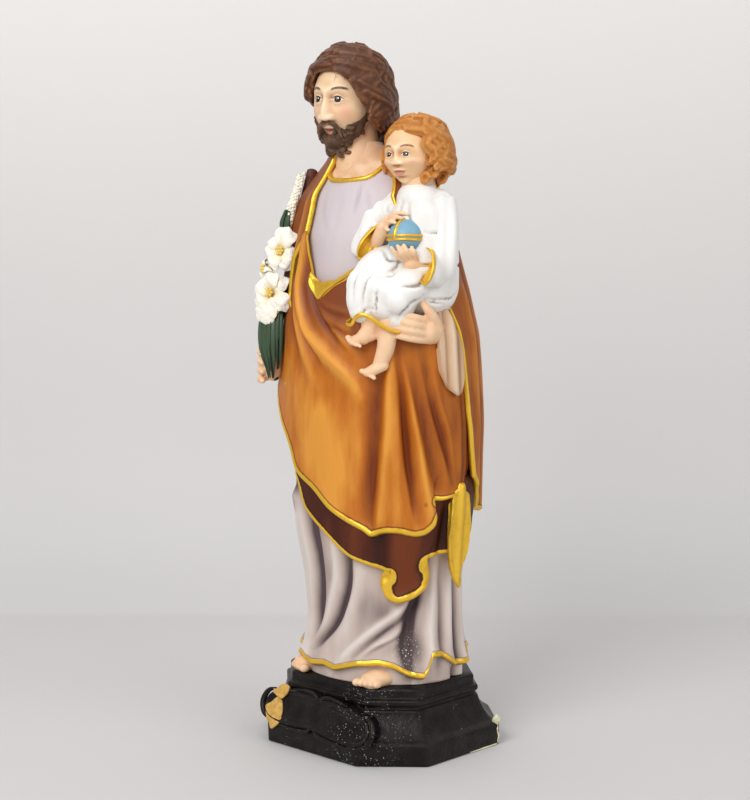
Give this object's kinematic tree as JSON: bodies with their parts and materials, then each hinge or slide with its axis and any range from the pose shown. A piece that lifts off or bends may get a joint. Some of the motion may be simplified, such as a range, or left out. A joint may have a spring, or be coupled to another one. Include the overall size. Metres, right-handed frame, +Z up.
{
  "type": "saint joseph statue",
  "caption": "Painted cast devotional statue of a bearded saint in tunic and mantle, carrying a robed child with an orb and a lily, on an octagonal plinth with a blank cartouche.",
  "frame": {"origin": "centre of the plinth's underside", "axes": "+Z up through the figure, +X towards the statue's own left, where the child sits, and the figure faces -Y"},
  "size_m": [0.1028, 0.0893, 0.3045],
  "materials": {
    "painted_resin": "cast polyresin, hand painted in orange-brown, lavender grey, white, flesh and gold, satin",
    "black_paint": "cast polyresin, glossy brown-black paint with a chip and specks of dust"
  },
  "bodies": {
    "root": {"figure": "painted_resin", "base": "black_paint"}
  },
  "joints": []
}
